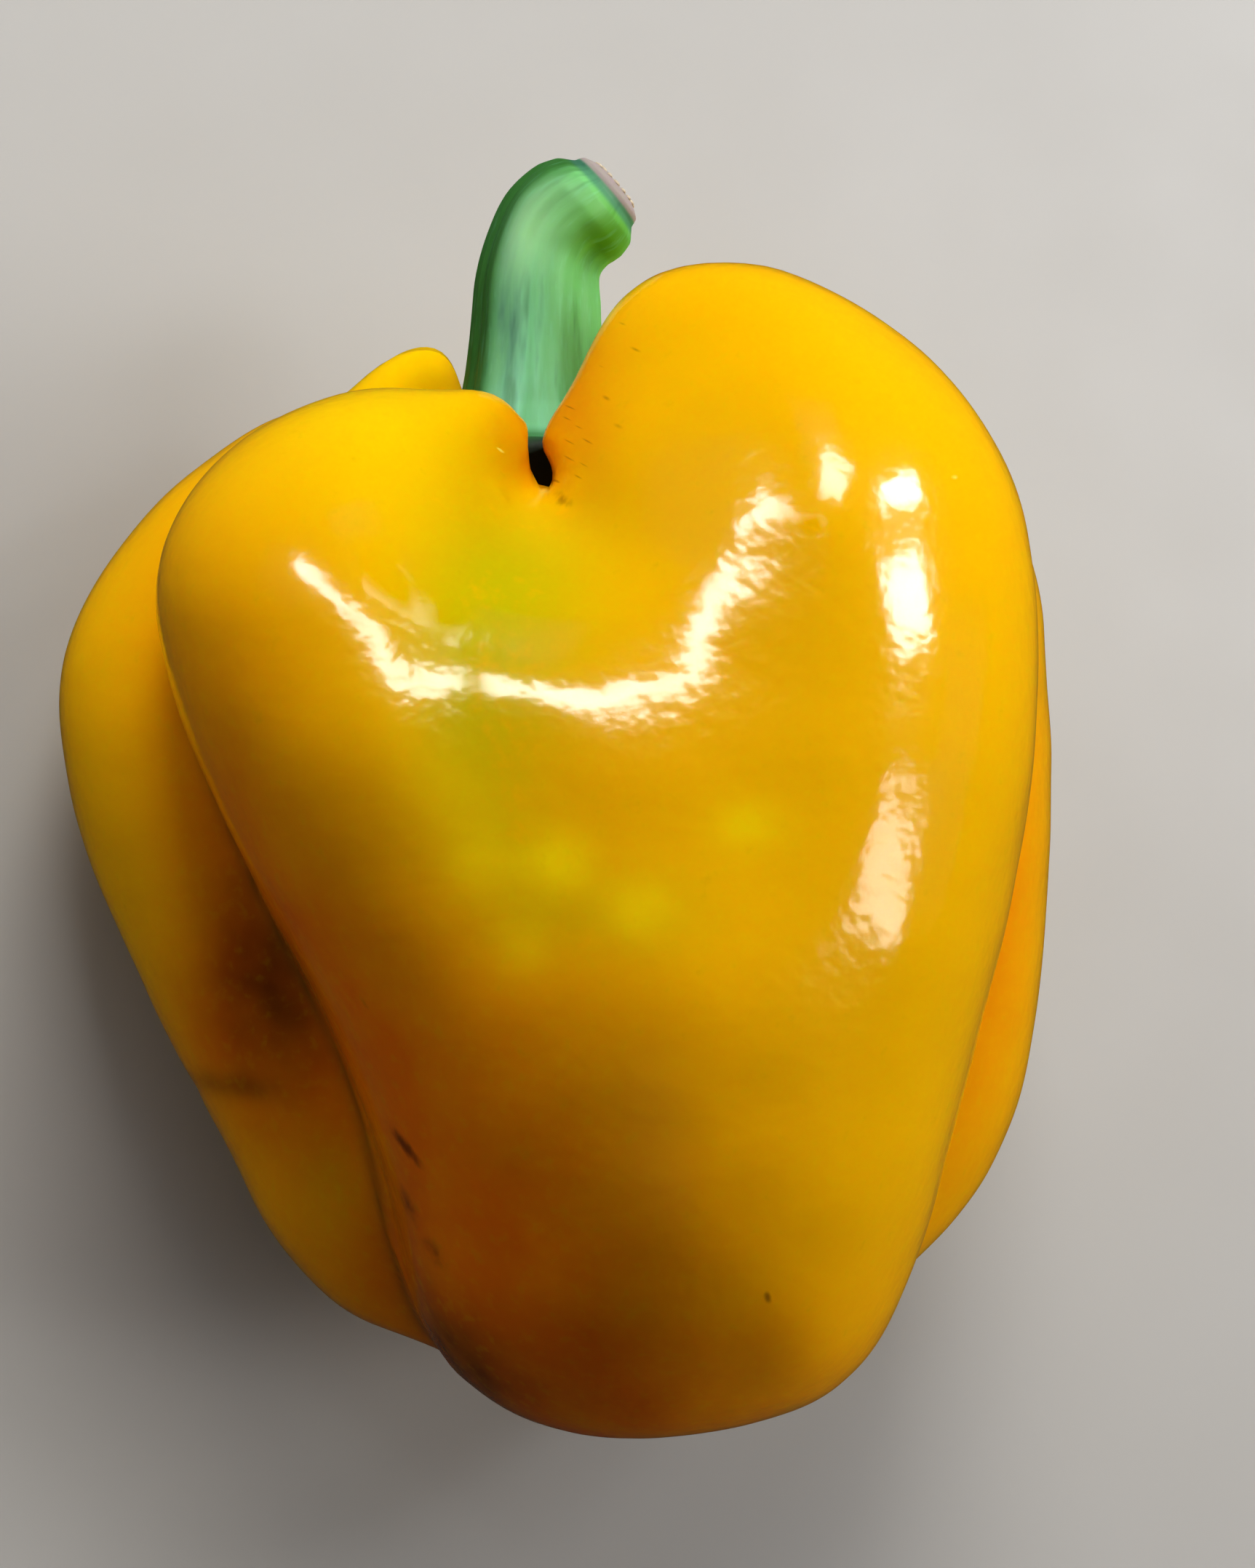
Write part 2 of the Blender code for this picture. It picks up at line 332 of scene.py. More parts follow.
# The depth of a swell: the y where it starts, is whole, is still whole, and ends
FRONT = (-99.0, -98.0, -5.0, 5.0)
CREST = (-25.0, -16.0, -13.0, -6.0)
BACK = (-3.0, 4.0, 98.0, 99.0)
# Each swell: x and z of its middle, its reach both ways, height, its depth
SWELLS = (
    ((8.5, 12.0), (7.0, 10.0), 1.2, FRONT), ((11.0, 32.5), (7.0, 11.0), -1.2, FRONT),
    ((21.0, 25.0), (5.0, 6.0), 0.4, FRONT), ((-3.0, 18.0), (4.0, 4.0), 0.2, FRONT),
    ((9.0, -8.5), (10.0, 9.0), 1.0, FRONT), ((-3.4, 34.0), (4.2, 4.3), 2.2, CREST),
    ((10.5, 42.5), (9.0, 6.5), 1.5, CREST), ((-17.5, 36.0), (4.0, 4.5), -1.4, BACK),
    ((-9.0, 41.5), (3.5, 3.5), 0.5, BACK), ((-26.5, 25.0), (5.0, 6.0), 1.0, BACK),
    ((-3.0, 14.0), (5.0, 6.0), 0.7, FRONT), ((-12.0, 10.0), (6.0, 7.0), 0.6, FRONT),
    ((15.0, 20.0), (5.0, 5.0), 0.4, FRONT), ((20.0, 25.5), (3.5, 3.0), 0.15, FRONT),
    ((13.5, 29.0), (3.0, 3.0), -0.15, FRONT), ((21.0, -38.5), (6.0, 6.0), 1.1, FRONT),
    ((0.1, 29.8), (0.8, 1.6), -0.8, CREST), ((-1.8, 31.2), (1.3, 1.6), 0.3, CREST),
    ((2.0, 31.2), (1.3, 1.6), 0.3, CREST), ((-9.5, -39.5), (7.0, 4.5), -1.5, BACK))
SCAR_MIDDLE = (8.0, -1.0)
SCAR_RADIUS = 2.6
SCAR_RISE = 0.3
SCAR_BELOW = -30.0
# The scar's uneven edge: share of the radius, waves round it, where they start
SCAR_WAVES = ((0.22, 4.0, 0.6), (0.1, 7.0, 0.0))
RELIEF_ROUNDS = 3


def line_distance(points, line):
    """Distance from each point to a line through a few places."""
    nearest = np.full(len(points), 1e9)
    for start, end in zip(line[:-1], line[1:]):
        start = np.array(start)
        run = np.array(end) - start
        share = np.clip(((points - start) @ run) / (run @ run), 0.0, 1.0)
        nearest = np.minimum(nearest, np.linalg.norm(points - start - share[:, None] * run, axis=1))
    return nearest


def scar_share(points):
    across = points[:, :2] - np.array(SCAR_MIDDLE)
    turn = np.arctan2(across[:, 1], across[:, 0])
    uneven = sum(tall * np.cos(waves * turn + start) for tall, waves, start in SCAR_WAVES)
    edge = SCAR_RADIUS * (1.0 + uneven)
    share = eased(1.6 - 1.3 * np.linalg.norm(across, axis=1) / edge)
    return share * (points[:, 2] < SCAR_BELOW)


def relief(points):
    """Height above the plain skin, in mm."""
    x, y, z = points[:, 0], points[:, 1], points[:, 2]
    height = np.zeros(len(points))
    for (middle_x, middle_z), (wide, tall), rise, depth in SWELLS:
        mound = np.exp(-((x - middle_x) / wide) ** 2 - ((z - middle_z) / tall) ** 2)
        height += rise * plateau(y, *depth) * mound
    for line, width, tall in FOLDS:
        height += tall * np.exp(-(line_distance(points, line) / width) ** 2)
    return height + SCAR_RISE * scar_share(points)


points, _ = mesh_arrays(skin_mesh)
for _ in range(RELIEF_ROUNDS):
    points = onto_skin(points, relief(points))
print("highest swell in mm:", relief(points).max().round(2))

# %% [markdown]
# ## Where the skin changes colour
# Colour follows the fruit's growth only in part: a green flush where ripening comes last is the skin's own.
# Lemon on the shoulders is partly the skin's own tone and partly painted light where the tops face the
# light. Deeper orange is partly ripeness and mostly painted shade towards the foot and on the left flank,
# and more of it darkens the grooves as painted shade. Umber beside the left groove and at the foot is
# painted shade, with some brown round the scars, and an olive line in the grooves is partly the crease's
# own colour and partly painted shade. In a few dull places the wax is gone. Soft round patches in the
# growth frame are stored on the vertices as named numbers, and the material reads them by name. A painted
# image could do this, but numbers on the vertices need no file and stay on the skin from any side.

# %% Ripeness patches
# Each patch: middle, radii and strength
PATCHES = {
    "green": (
        ((-3.0, -27.0, 20.0), (7.5, 14.0, 8.5), 0.95), ((-5.0, -31.0, 9.5), (5.5, 12.0, 8.0), 0.7),
        ((-2.5, -33.0, 1.5), (4.0, 12.0, 3.5), 0.35), ((0.5, -34.0, -3.0), (4.5, 12.0, 3.0), 0.4),
        ((8.0, -35.0, -3.5), (4.5, 12.0, 3.2), 0.3), ((-16.0, -2.0, -25.0), (3.5, 16.0, 5.0), 0.5),
        ((-24.0, -5.0, 20.0), (5.0, 12.0, 9.0), 0.08)),
    # Lemon: partly the skin's own tone, partly painted light on the lit shoulders
    "lemon_and_light": (
        ((-13.0, -20.0, 33.0), (13.0, 18.0, 9.0), 0.7), ((-14.0, 6.0, 40.0), (9.0, 9.0, 6.0), 0.5),
        ((8.0, -36.0, -2.0), (9.0, 14.0, 6.0), 0.2), ((-16.4, -2.0, -24.5), (3.2, 14.0, 5.0), 0.9)),
    "spots": (
        ((1.5, -34.0, 0.6), (2.5, 12.0, 2.2), 0.95), ((-4.2, -33.0, 0.9), (2.8, 12.0, 2.9), 0.55),
        ((7.1, -35.0, -2.5), (2.5, 12.0, 2.0), 0.7), ((14.8, -36.0, 3.4), (2.9, 12.0, 2.0), 0.6),
        ((-1.4, -33.0, -5.3), (2.5, 12.0, 2.5), 0.5), ((-6.0, -32.0, 6.0), (2.8, 12.0, 2.3), 0.3)),
    # Deeper orange: partly ripeness, mostly painted shade towards the foot and on the left flank
    "orange_and_shade": (
        ((1.5, -16.0, 34.0), (5.0, 12.0, 8.0), 0.6), ((-6.0, -22.0, -28.0), (17.0, 32.0, 25.0), 1.0),
        ((6.0, -18.0, -44.0), (24.0, 30.0, 13.0), 0.6), ((-1.0, 0.0, 30.0), (11.0, 10.0, 8.0), 0.5),
        ((-21.5, -16.0, 5.0), (7.5, 15.0, 20.0), 1.0), ((-25.0, 0.0, -12.0), (5.0, 10.0, 8.0), 0.9),
        ((34.0, 0.0, 5.0), (6.0, 14.0, 24.0), 0.85), ((-15.0, -18.0, -12.0), (7.0, 15.0, 14.0), 0.7)),
    # Umber: painted shade beside the left groove and at the foot, with some brown round the scars
    "umber_and_shade": (
        ((-20.8, -5.0, -9.0), (5.2, 12.0, 8.5), 1.0), ((-23.0, -3.0, 2.0), (4.5, 12.0, 12.0), 0.35),
        ((-25.0, 0.0, -17.5), (4.0, 9.0, 1.0), 0.6), ((-11.0, -13.0, -26.0), (3.5, 9.0, 9.0), 0.45),
        ((-6.0, -14.0, -38.0), (6.0, 10.0, 6.5), 1.0)),
    # A negative strength lets some gloss back in
    "dull": (
        ((-12.5, -30.0, 23.0), (3.2, 10.0, 3.0), 1.0), ((-9.5, -31.0, 20.8), (3.0, 10.0, 2.6), 1.0),
        ((-6.5, -32.0, 18.5), (3.0, 10.0, 2.4), 1.0), ((-4.8, -33.0, 13.0), (0.8, 10.0, 3.0), 0.9),
        ((-9.7, -31.0, 22.4), (0.8, 10.0, 1.8), -0.6), ((-8.5, -31.0, 19.8), (0.8, 10.0, 1.8), -0.6),
        ((19.8, -32.0, 25.2), (2.4, 10.0, 2.0), 1.1), ((-4.0, -23.0, 31.8), (3.2, 9.0, 3.2), 1.2)),
}
# Width of the olive crease line, which is partly painted shade
SEAM_WIDTH = 0.9
# Width of the painted shade in the grooves
GROOVE_SHADE_WIDTH = 5.0


def patch_sum(points, patches):
    total = np.zeros(len(points))
    for middle, radii, strength in patches:
        total += strength * np.exp(-(((points - np.array(middle)) / np.array(radii)) ** 2).sum(axis=1))
    return np.clip(total, 0.0, 1.0)


def seam_share(points, width):
    """1 in the grooves between front and back lobes, falling to 0 beside them."""
    front, back = front_and_back(points)
    return np.exp(-np.abs(front - np.minimum(back[0], back[1])) / width)


def store(mesh, name, values, kind="FLOAT"):
    layer = mesh.attributes.new(name, kind, "POINT")
    layer.data.foreach_set("value" if kind == "FLOAT" else "vector", np.asarray(values, np.float32).ravel())


for name, patches in PATCHES.items():
    store(skin_mesh, name, patch_sum(points, patches))
# The olive crease line with painted shade, then wider painted shade in the grooves
store(skin_mesh, "seam_and_shade", seam_share(points, SEAM_WIDTH))
store(skin_mesh, "groove_shade", seam_share(points, GROOVE_SHADE_WIDTH))
store(skin_mesh, "scar", scar_share(points))
places = on_table(points)
places[:, 2] = np.maximum(places[:, 2], 0.0)
skin_mesh.vertices.foreach_set("co", places.ravel())
skin_mesh.update()
skin_mesh.shade_smooth()
print("stored:", [layer.name for layer in skin_mesh.attributes if layer.name in PATCHES])

# %% [markdown]
# ## Arithmetic for materials
# A material is a graph, and a graph is slow to read. This small class lets ordinary Python arithmetic add
# the Math nodes, so that a mask reads like a formula. Every other node comes from one method, which sets
# the node up first and then links or fills its sockets.

# %% A small language for node graphs
class Number:
    """A number socket. Arithmetic on it adds Math nodes to its graph."""

    def __init__(self, graph, socket):
        self.graph = graph
        self.socket = socket

    def __add__(self, other):
        return self.graph.maths("ADD", self, other)

    def __sub__(self, other):
        return self.graph.maths("SUBTRACT", self, other)

    def __rsub__(self, other):
        return self.graph.maths("SUBTRACT", other, self)

    def __mul__(self, other):
        return self.graph.maths("MULTIPLY", self, other)

    def __truediv__(self, other):
        return self.graph.maths("DIVIDE", self, other)

    def __rtruediv__(self, other):
        return self.graph.maths("DIVIDE", other, self)

    __radd__ = __add__
    __rmul__ = __mul__


class Graph:
    """Adds nodes to one tree: a material's or a modifier's."""

    def __init__(self, tree):
        self.tree = tree

    def fill(self, node, sockets):
        for key, value in sockets.items():
            value = value.socket if isinstance(value, Number) else value
            if isinstance(value, bpy.types.NodeSocket):
                self.tree.links.new(value, node.inputs[key])
            else:
                node.inputs[key].default_value = value

    def node(self, kind, settings=None, sockets=None, output=0):
        node = self.tree.nodes.new(kind)
        for key, value in (settings or {}).items():
            setattr(node, key, value)
        self.fill(node, sockets or {})
        return Number(self, node.outputs[output])

    def maths(self, operation, first, second):
        return self.node("ShaderNodeMath", {"operation": operation}, {0: first, 1: second})

    def between(self, value, low, high):
        """0 below low, 1 above high, eased between them."""
        return self.node("ShaderNodeMapRange", {"interpolation_type": "SMOOTHSTEP"},
                         {"Value": value, "From Min": low, "From Max": high})

    def named(self, name, output="Fac"):
        return self.node("ShaderNodeAttribute", {"attribute_name": name}, output=output)

    def noise(self, where, scale, detail=2.0):
        return self.node("ShaderNodeTexNoise", None, {"Vector": where, "Scale": scale, "Detail": detail})

    def mix(self, share, first, second):
        return self.node("ShaderNodeMix", {"data_type": "RGBA"}, {0: share, 6: first, 7: second}, 2)


def new_material(name):
    material = bpy.data.materials.new(name)
    material.use_nodes = True
    return material, Graph(material.node_tree), material.node_tree.nodes["Principled BSDF"]


def rgb(red, green, blue):
    return (red, green, blue, 1.0)


print("graph helper ready")

# %% [markdown]
# ## Pepper skin
# The skin is a thin clear wax over dense coloured flesh: saturated yellow, with sharp reflections whose
# edges break up over tiny ripples. A Principled shader with a coat gives the two glosses, and a little
# subsurface light keeps the shaded side warm. The ripples are a Bump of one noise, about 1.3 mm across,
# far too fine for geometry. Where the wax is gone, a Mix Shader turns to a matt twin of the same colour.
# Roughness alone could dull the wax there, but it would leave a pale haze.

# %% Small marks on the skin
# Each mark: x and z of its middle in mm, half length, half width, tilt in degrees, strength
SCARS = (
    (-10.2, -20.8, 2.6, 0.6, -50, 1.0), (-10.3, -25.4, 2.4, 0.9, -64, 0.55),
    (-8.2, -28.9, 2.4, 1.0, -56, 0.5), (16.6, -31.5, 0.7, 0.4, -75, 0.8),
    (1.45, 27.6, 1.3, 0.7, -50, 0.5), (-13.0, -10.0, 1.2, 0.3, -60, 0.3))
TICKS = (
    (5.9, 41.2, 0.6, 0.16, -30, 0.5), (6.9, 39.0, 0.75, 0.2, -30, 0.6), (4.7, 35.3, 0.6, 0.26, -35, 0.6),
    (1.9, 34.9, 0.8, 0.1, -32, 0.8), (1.7, 34.0, 0.6, 0.09, -32, 0.7), (5.6, 33.0, 0.7, 0.3, -30, 0.5),
    (3.3, 32.0, 0.8, 0.11, -34, 0.7), (1.9, 32.1, 0.8, 0.1, -34, 0.7), (1.9, 30.8, 0.8, 0.11, -34, 0.7),
    (3.0, 30.2, 0.7, 0.1, -34, 0.6), (0.9, 29.2, 0.5, 0.14, -34, 1.0), (2.6, 29.3, 0.6, 0.12, -34, 0.7),
    (2.6, 33.2, 0.6, 0.09, -32, 0.6), (4.3, 37.9, 0.5, 0.1, -30, 0.4))
FLECKS = (
    (-3.3, 31.5, 0.5, 0.14, -35, 0.9), (30.5, 29.0, 0.45, 0.3, 10, 0.6), (-9.3, 37.8, 0.5, 0.2, 0, 0.7),
    (-14.0, 21.0, 0.3, 0.2, 40, 0.3), (17.0, 4.0, 0.3, 0.25, 0, 0.25))
MARK_DEPTH = -20.0
MARK_REACH = 22.0


def growth_place(graph):
    """Object coordinates turned back into the growth frame, in millimetres."""
    place = graph.node("ShaderNodeTexCoord", output="Object")
    turn = Matrix([list(row) for row in AXES.T]).to_euler()
    return graph.node("ShaderNodeMapping", {"vector_type": "POINT"}, {
        "Vector": place, "Location": ORIGIN_AT_REST, "Rotation": turn, "Scale": (1 / MM,) * 3})


def mark_share(graph, place, marks):
    total = 0.0
    for x, z, length, width, tilt, strength in marks:
        near = graph.node("ShaderNodeMapping", {"vector_type": "TEXTURE"}, {
            "Vector": place, "Location": (x, MARK_DEPTH, z), "Rotation": (0.0, -radians(tilt), 0.0),
            "Scale": (length, MARK_REACH, width)})
        total = total + strength * graph.node("ShaderNodeTexGradient", {"gradient_type": "SPHERICAL"},
                                              {"Vector": near}, "Fac")
    return total


print("small marks:", len(SCARS + TICKS + FLECKS))

# %% Colours of the skin
GOLD = rgb(0.92, 0.51, 0.001)
# Lemon tone, also used as painted light on the lit shoulders
LEMON_AND_LIGHT = rgb(0.90, 0.65, 0.001)
FLUSH_GREEN = rgb(0.56, 0.48, 0.002)
# Deeper orange, partly ripeness and partly painted shade
DEEP_ORANGE_AND_SHADE = rgb(0.80, 0.20, 0.001)
# Olive crease line, partly painted shade in the grooves
GROOVE_OLIVE_AND_SHADE = rgb(0.14, 0.07, 0.003)
SPOT_LEMON = rgb(1.0, 0.76, 0.002)
# Umber, mostly painted shade beside the left groove and at the foot
UMBER_AND_SHADE = rgb(0.13, 0.034, 0.002)
MARK_BROWN = rgb(0.12, 0.03, 0.004)
FLECK_PALE = rgb(0.95, 0.78, 0.12)
CORK = rgb(0.30, 0.17, 0.07)
CLOUD_SCALE = 0.3


def skin_colour(graph, place, blotches, mottling):
    """Ripeness with painted light and shade first, then the grooves' olive line and painted shade, the
    small marks and the blossom scar.
    """
    clouds = graph.noise(place, CLOUD_SCALE, 1.0)
    uneven = 0.6 + 0.7 * blotches
    # Lemon, partly painted light on the lit shoulders
    colour = graph.mix(graph.named("lemon_and_light") * uneven, GOLD, LEMON_AND_LIGHT)
    # Deeper orange, mostly painted shade towards the foot and the left flank
    colour = graph.mix(graph.named("orange_and_shade") * uneven, colour, DEEP_ORANGE_AND_SHADE)
    greening = graph.between(blotches * 0.7 + mottling * 0.5, 0.15, 0.6)
    colour = graph.mix(graph.named("green") * greening, colour, FLUSH_GREEN)
    colour = graph.mix(graph.named("spots") * (0.5 + 0.6 * clouds), colour, SPOT_LEMON)
    # Painted shade in the grooves
    colour = graph.mix(graph.named("groove_shade") * 0.5, colour, DEEP_ORANGE_AND_SHADE)
    # Umber painted shade beside the left groove and at the foot
    colour = graph.mix(graph.named("umber_and_shade") * (0.55 + 0.6 * clouds), colour, UMBER_AND_SHADE)
    colour = graph.mix(graph.between(mottling, 0.5, 0.8) * 0.14, colour, LEMON_AND_LIGHT)
    # Olive crease line, partly painted shade
    colour = graph.mix(graph.named("seam_and_shade") * 0.75, colour, GROOVE_OLIVE_AND_SHADE)
    scars = graph.between(mark_share(graph, place, SCARS) + (mottling - 0.5) * 0.7, 0.05, 0.8)
    ticks = graph.between(mark_share(graph, place, TICKS), 0.1, 0.7)
    colour = graph.mix(scars * 0.8 + ticks * 0.45, colour, MARK_BROWN)
    flecks = graph.between(mark_share(graph, place, FLECKS), 0.1, 0.6)
    colour = graph.mix(flecks, colour, FLECK_PALE)
    return graph.mix(graph.named("scar") * graph.between(mottling, 0.2, 0.6), colour, CORK)


print("the unmarked skin's colour:", GOLD[:3])

# %% The skin's material
# The noises in the growth frame: how many waves in a millimetre
BLOTCH_SCALE = 0.16
MOTTLING_SCALE = 0.9
RIPPLE_SCALE = 0.75
RIPPLES = {"Strength": 0.6, "Distance": 0.00008}
WAX = {"Specular IOR Level": 0.2, "IOR": 1.42, "Coat IOR": 1.45, "Coat Roughness": 0.15}
NO_WAX = {"Specular IOR Level": 0.0, "Roughness": 1.0}
FLESH = {"Subsurface Weight": 0.3, "Subsurface Radius": (1.0, 0.4, 0.04), "Subsurface Scale": 0.005}


def pepper_skin():
    material, graph, shader = new_material("pepper_skin")
    place = growth_place(graph)
    blotches = graph.noise(place, BLOTCH_SCALE, 3.0)
    mottling = graph.noise(place, MOTTLING_SCALE, 4.0)
    colour = skin_colour(graph, place, blotches, mottling)
    scar = graph.named("scar")
    ripples = graph.noise(place, RIPPLE_SCALE, 1.5)
    graph.fill(shader, {
        **WAX, **FLESH, "Base Color": colour,
        "Normal": graph.node("ShaderNodeBump", None, {**RIPPLES, "Height": ripples}),
        "Roughness": 0.11 + 0.05 * blotches + 0.5 * scar,
        "Coat Weight": 0.05 * (1 - scar)})
    waxy = Number(graph, shader.outputs[0])
    matt = graph.node("ShaderNodeBsdfPrincipled", None, {**NO_WAX, **FLESH, "Base Color": colour})
    surface = graph.node("ShaderNodeMixShader", None, {0: graph.named("dull"), 1: waxy, 2: matt})
    graph.fill(material.node_tree.nodes["Material Output"], {"Surface": surface})
    return material


skin_mesh.materials.clear()
skin_material = pepper_skin()
print("skin nodes:", len(skin_material.node_tree.nodes))

# %% [markdown]
# ## Soft swells in the skin
# A pepper's wall is never quite even: long shallow swells make the window's reflection wander. They follow
# a rule, so Geometry Nodes make them: each vertex moves along its normal by a smooth noise of its place.
# The tree has named inputs for the size and height of the swells, and ends by setting the material.

# %% A swell tree for the skin
SWELL_SIZE = 0.011
SWELL_HEIGHT = 0.0003
SWELL_DRAW = 3.0


def new_tree(name, inputs):
    """A geometry tree and its graph, its inputs by name, and what a modifier calls them."""
    tree = bpy.data.node_groups.new(name, "GeometryNodeTree")
    graph = Graph(tree)
    tree.interface.new_socket("Geometry", in_out="INPUT", socket_type="NodeSocketGeometry")
    names = {label: tree.interface.new_socket(label, in_out="INPUT", socket_type=kind).identifier
             for label, kind in inputs.items()}
    tree.interface.new_socket("Geometry", in_out="OUTPUT", socket_type="NodeSocketGeometry")
    inside = tree.nodes.new("NodeGroupInput")
    given = {socket.name: Number(graph, socket) for socket in inside.outputs if socket.name}
    return tree, graph, given, names


def swell_tree():
    tree, graph, given, names = new_tree("skin_swells", {
        "Swell Size": "NodeSocketFloat", "Swell Height": "NodeSocketFloat",
        "Material": "NodeSocketMaterial"})
    place = graph.node("GeometryNodeInputPosition")
    swell = graph.node("ShaderNodeTexNoise", {"noise_dimensions": "4D"}, {
        "Vector": place, "W": SWELL_DRAW, "Scale": 1.0 / given["Swell Size"], "Detail": 1.0}) - 0.5
    push = graph.node("ShaderNodeVectorMath", {"operation": "SCALE"}, {
        0: graph.node("GeometryNodeInputNormal"), "Scale": swell * given["Swell Height"] * 2.0})
    moved = graph.node("GeometryNodeSetPosition", None, {"Geometry": given["Geometry"], "Offset": push})
    real = graph.node("GeometryNodeRealizeInstances", None, {"Geometry": moved})
    painted = graph.node("GeometryNodeSetMaterial", None, {"Geometry": real, "Material": given["Material"]})
    graph.fill(tree.nodes.new("NodeGroupOutput"), {0: painted})
    return tree, names


def run_tree(thing, tree, values):
    modifier = thing.modifiers.new(tree.name, "NODES")
    modifier.node_group = tree
    for identifier, value in values.items():
        modifier[identifier] = value
    return plain_copy(thing)


tree, names = swell_tree()
skin_mesh = run_tree(fruit, tree, {names["Swell Size"]: SWELL_SIZE, names["Swell Height"]: SWELL_HEIGHT,
                                   names["Material"]: skin_material})
places, _ = mesh_arrays(skin_mesh)
places[:, 2] = np.maximum(places[:, 2], 0.0)
skin_mesh.vertices.foreach_set("co", places.ravel())
skin_mesh.update()
print("swells added to", len(skin_mesh.vertices), "vertices")

# %% [markdown]
# ## Stem and calyx
# The stem is one run of rings: under the calyx, round its edge, up the ridged shaft, through the bend and
# over the swollen tip to the cut face. A ball's rings are reused for it, each moved to its place on the
# middle line. A curve with a bevel could make the shaft, but not the calyx edge and the knob in one skin.

# %% The stem's middle line
STEM_FOOT = (-1.6, 0.0, 28.0)
STEM_LEAN = (0.035, 0.01)
STEM_STRAIGHT = 17.2
BEND_RADIUS = 9.0
BEND_ANGLE = radians(47.0)


def stem_line(distance):
    """Point and heading of the stem's middle line, this far from its foot."""
    heading = np.array([STEM_LEAN[0], STEM_LEAN[1], 1.0])
    heading /= np.linalg.norm(heading)
    right = np.array([1.0, 0.0, 0.0]) - heading[0] * heading
    right /= np.linalg.norm(right)
    bent = np.clip((distance - STEM_STRAIGHT) / BEND_RADIUS, 0.0, BEND_ANGLE)
    past = max(0.0, distance - STEM_STRAIGHT - BEND_RADIUS * BEND_ANGLE)
    point = np.array(STEM_FOOT) + heading * min(distance, STEM_STRAIGHT)
    point = point + BEND_RADIUS * (sin(bent) * heading + (1.0 - cos(bent)) * right)
    way = cos(bent) * heading + sin(bent) * right
    return point + past * way, way


print("the stem's middle line starts at", STEM_FOOT)

# %% Rings of the stem
STEM_SIDES = 144
STEM_RINGS = 150
RIDGES = 6
RIDGE_DEPTH = 0.045
RIDGE_CREST = 1.6
RIDGE_SHARPNESS = 1.5
RIDGE_LOWERING = 0.1
RIDGE_FADE = 4.0
RIDGE_TURN = radians(70.0)
FINE_LINES = 31.0
FINE_TWIST = 0.15
FINE_DEPTH = 0.002
CALYX_CLEARANCE = 0.5
CALYX_EDGE = radians(54.0)
CALYX_WAVE = radians(4.0)
CALYX_SHARE = 0.27
KNOB_TOP = 23.0
KNOB_SHIFT = 0.5
KNOB_LENGTH = 3.0
PROFILE_BEND = 0.25
# Distance along the middle line, radius, and share of the calyx edge in that radius
STEM_PROFILE = (
    (5.5, 6.2, 0.96), (5.9, 6.2, 0.55), (6.8, 6.2, 0.12), (8.5, 5.7, 0.0), (11.0, 5.3, 0.0),
    (14.0, 5.05, 0.0), (17.7, 4.85, 0.0), (21.0, 4.65, 0.0), (23.4, 4.8, 0.0), (25.3, 4.9, 0.0),
    (26.6, 4.5, 0.0), (27.2, 3.9, 0.0), (27.6, 3.5, 0.0), (28.3, 3.2, 0.0), (28.8, 2.0, 0.0),
    (28.8, 0.0, 0.0))


def bowl_point(climb, turn, inset):
    middle, radii = STEM_BOWL
    return np.array([middle[0] + (radii[0] - inset) * sin(climb) * cos(turn),
                     middle[1] - (radii[1] - inset) * sin(climb) * sin(turn),
                     middle[2] - (radii[2] - inset) * cos(climb)])


def profile_at(place):
    """Smooth values between the profile's rows."""
    rows = np.array(STEM_PROFILE)
    here = min(int(place), len(rows) - 2)
    share = place - here
    before, after = rows[max(here - 1, 0)], rows[min(here + 2, len(rows) - 1)]
    start, end = rows[here], rows[here + 1]
    straight = start + (end - start) * share
    lift = (1.0 - share) * (2 * start - before - end) + share * (2 * end - start - after)
    return straight + PROFILE_BEND * share * (1.0 - share) * lift


def stem_point(share, turn):
    """Place on the stem's surface, distance along it, and share of the calyx."""
    climb = CALYX_EDGE + CALYX_WAVE * cos(RIDGES * (turn - RIDGE_TURN))
    if share < CALYX_SHARE:
        return bowl_point(climb * share / CALYX_SHARE, turn, CALYX_CLEARANCE), 0.0, 1.0
    past_calyx = (share - CALYX_SHARE) / (1.0 - CALYX_SHARE)
    distance, radius, calyx = profile_at(past_calyx * (len(STEM_PROFILE) - 1))
    point, way = stem_line(distance)
    side = np.array([1.0, 0.0, 0.0]) - way[0] * way
    side /= np.linalg.norm(side)
    front = np.cross(side, way)
    edge = bowl_point(climb, turn, CALYX_CLEARANCE) - np.array(STEM_BOWL[0])
    fade = np.clip((KNOB_TOP + RIDGE_FADE - distance) / RIDGE_FADE, 0.0, 1.0)
    swing = cos(RIDGES * (turn - RIDGE_TURN))
    crest = RIDGE_CREST * abs(swing) ** RIDGE_SHARPNESS * np.sign(swing) - RIDGE_LOWERING
    lines = FINE_DEPTH * cos(FINE_LINES * turn + FINE_TWIST * distance)
    radius = (1.0 - calyx) * radius * (1.0 + fade * (RIDGE_DEPTH * crest + lines))
    radius = radius + calyx * np.hypot(edge[0], edge[1])
    point = point - KNOB_SHIFT * np.exp(-((distance - KNOB_TOP) / KNOB_LENGTH) ** 2) * side
    return point + radius * (cos(turn) * side + sin(turn) * front), distance, calyx


stem_mesh = ball_mesh("stem_and_calyx_skin", STEM_SIDES, STEM_RINGS)
ball, _ = mesh_arrays(stem_mesh)
shares = np.arccos(np.clip(-ball[:, 2], -1.0, 1.0)) / pi
turns = np.arctan2(-ball[:, 1], ball[:, 0])
rows = [stem_point(share, turn) for share, turn in zip(shares, turns)]
stem_points = np.array([row[0] for row in rows])
distances = np.array([row[1] for row in rows])
calyx_shares = np.array([row[2] for row in rows])
print("stem rings:", STEM_RINGS, "faces:", len(stem_mesh.polygons))

